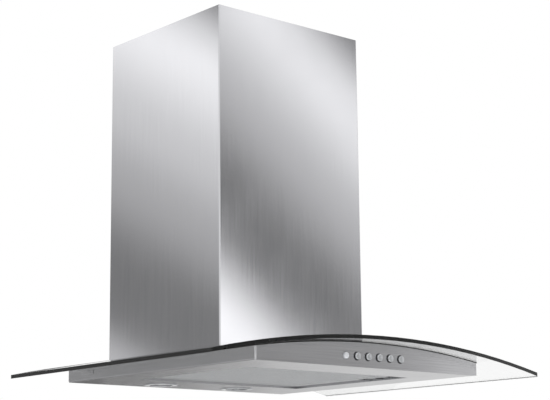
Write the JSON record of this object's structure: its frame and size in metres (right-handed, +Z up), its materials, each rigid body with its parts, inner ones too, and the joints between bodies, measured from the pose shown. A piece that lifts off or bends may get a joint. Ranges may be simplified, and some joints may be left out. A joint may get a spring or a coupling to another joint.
{
  "type": "curved glass range hood",
  "caption": "Wall-hung chimney range hood with a curved glass canopy, steel body with filter, lamps and push buttons, and a telescopic chimney.",
  "frame": {"origin": "on the wall plane, on the centre line, level with the canopy's flat underside", "axes": "+X to the right seen from the front, +Y into the wall, +Z up"},
  "size_m": [0.598, 0.4477, 0.5164],
  "materials": {
    "canopy_steel": "brushed stainless steel, folded sheet",
    "fascia_steel": "brushed stainless steel, folded sheet",
    "chimney_steel": "brushed stainless steel, folded sheet",
    "galvanised": "hot-dip galvanised sheet, matt spangle",
    "canopy_glass": "clear toughened glass, bent, polished edges",
    "seal_rubber": "black extruded rubber, matt",
    "zinc_steel": "zinc-plated steel, satin",
    "black_plastic": "black moulded plastic, matt",
    "grey_plastic": "grey moulded plastic, matt",
    "white_plastic": "white moulded plastic",
    "button_chrome": "satin chrome on moulded caps",
    "pilot_lens": "clear polished plastic",
    "lamp_chrome": "bright chrome",
    "lamp_glass": "frosted glass",
    "ceramic": "white steatite, matt",
    "filter_aluminium": "mill-finish rolled aluminium",
    "mesh_aluminium": "expanded aluminium foil, many layers",
    "motor_paint": "grey stoved paint on steel"
  },
  "bodies": {
    "hood": {"canopy_body": "canopy_steel", "fascia": "fascia_steel", "top_deck": "galvanised", "air_throat": "galvanised", "glass_canopy": "canopy_glass", "glass_seal": "seal_rubber", "glass_rest_left": "zinc_steel", "glass_rest_right": "zinc_steel", "switch_box": "black_plastic", "pilot_lens": "pilot_lens", "lamp_transformer": "grey_plastic", "blower_chamber": "galvanised", "wall_bracket": "galvanised", "scroll_left": "white_plastic", "scroll_right": "white_plastic", "inlet_ring_left": "grey_plastic", "inlet_ring_right": "grey_plastic", "motor_body": "motor_paint", "motor_bracket": "zinc_steel", "outlet_collar": "black_plastic", "damper_pin": "zinc_steel", "terminal_box": "grey_plastic", "cable_gland": "black_plastic", "capacitor": "white_plastic", "chimney_cover": "chimney_steel", "glass_grommets": "seal_rubber", "glass_screws": "zinc_steel", "glass_nuts": "zinc_steel", "throat_screws": "zinc_steel", "chimney_screws": "zinc_steel", "lamp_bezel_left": "lamp_chrome", "lamp_lens_left": "lamp_glass", "lamp_can_left": "zinc_steel", "lamp_holder_left": "ceramic", "lamp_bulb_left": "lamp_glass", "lamp_bezel_right": "lamp_chrome", "lamp_lens_right": "lamp_glass", "lamp_can_right": "zinc_steel", "lamp_holder_right": "ceramic", "lamp_bulb_right": "lamp_glass"},
    "chimney_extension": {"chimney_extension": "chimney_steel"},
    "grease_filter": {"filter_frame": "filter_aluminium", "filter_mesh": "mesh_aluminium", "filter_core": "mesh_aluminium"},
    "filter_latch": {"filter_latch": "black_plastic"},
    "fan_wheel": {"impeller": "galvanised", "impeller_ring_left": "galvanised", "impeller_ring_right": "galvanised", "impeller_blades_left": "galvanised", "impeller_blades_right": "galvanised", "motor_shaft": "zinc_steel"},
    "flap_front": {"damper_flap_front": "black_plastic"},
    "flap_rear": {"damper_flap_rear": "black_plastic"},
    "button_1": {"button_1": "button_chrome"},
    "button_2": {"button_2": "button_chrome"},
    "button_3": {"button_3": "button_chrome"},
    "button_4": {"button_4": "button_chrome"},
    "button_5": {"button_5": "button_chrome"}
  },
  "joints": [
    {"name": "extension_slide", "type": "slide", "parent": "hood", "child": "chimney_extension", "axis": [0, 0, 1], "range_m": [0, 0.33]},
    {"name": "filter_drop", "type": "hinge", "parent": "hood", "child": "grease_filter", "pos_m": [-0.1464, -0.217, 0.0035], "axis": [0, 1, 0], "range_deg": [0, 70]},
    {"name": "latch_slide", "type": "slide", "parent": "grease_filter", "child": "filter_latch", "axis": [-1, 0, 0], "range_m": [0, 0.005], "stiffness_N_per_m": 600, "springref_m": -0.003},
    {"name": "fan_spin", "type": "hinge", "parent": "hood", "child": "fan_wheel", "pos_m": [0, -0.106, 0.146], "axis": [1, 0, 0], "continuous": true},
    {"name": "flap_front_swing", "type": "hinge", "parent": "hood", "child": "flap_front", "pos_m": [0, -0.16, 0.29305], "axis": [-1, 0, 0], "range_deg": [0, 75]},
    {"name": "flap_rear_swing", "type": "hinge", "parent": "hood", "child": "flap_rear", "pos_m": [0, -0.16, 0.29305], "axis": [1, 0, 0], "range_deg": [0, 75]},
    {"name": "button_1_press", "type": "slide", "parent": "hood", "child": "button_1", "axis": [0, 1, 0], "range_m": [0, 0.003], "stiffness_N_per_m": 700, "springref_m": -0.002},
    {"name": "button_2_press", "type": "slide", "parent": "hood", "child": "button_2", "axis": [0, 1, 0], "range_m": [0, 0.003], "stiffness_N_per_m": 700, "springref_m": -0.002},
    {"name": "button_3_press", "type": "slide", "parent": "hood", "child": "button_3", "axis": [0, 1, 0], "range_m": [0, 0.003], "stiffness_N_per_m": 700, "springref_m": -0.002},
    {"name": "button_4_press", "type": "slide", "parent": "hood", "child": "button_4", "axis": [0, 1, 0], "range_m": [0, 0.003], "stiffness_N_per_m": 700, "springref_m": -0.002},
    {"name": "button_5_press", "type": "slide", "parent": "hood", "child": "button_5", "axis": [0, 1, 0], "range_m": [0, 0.003], "stiffness_N_per_m": 700, "springref_m": -0.002}
  ]
}
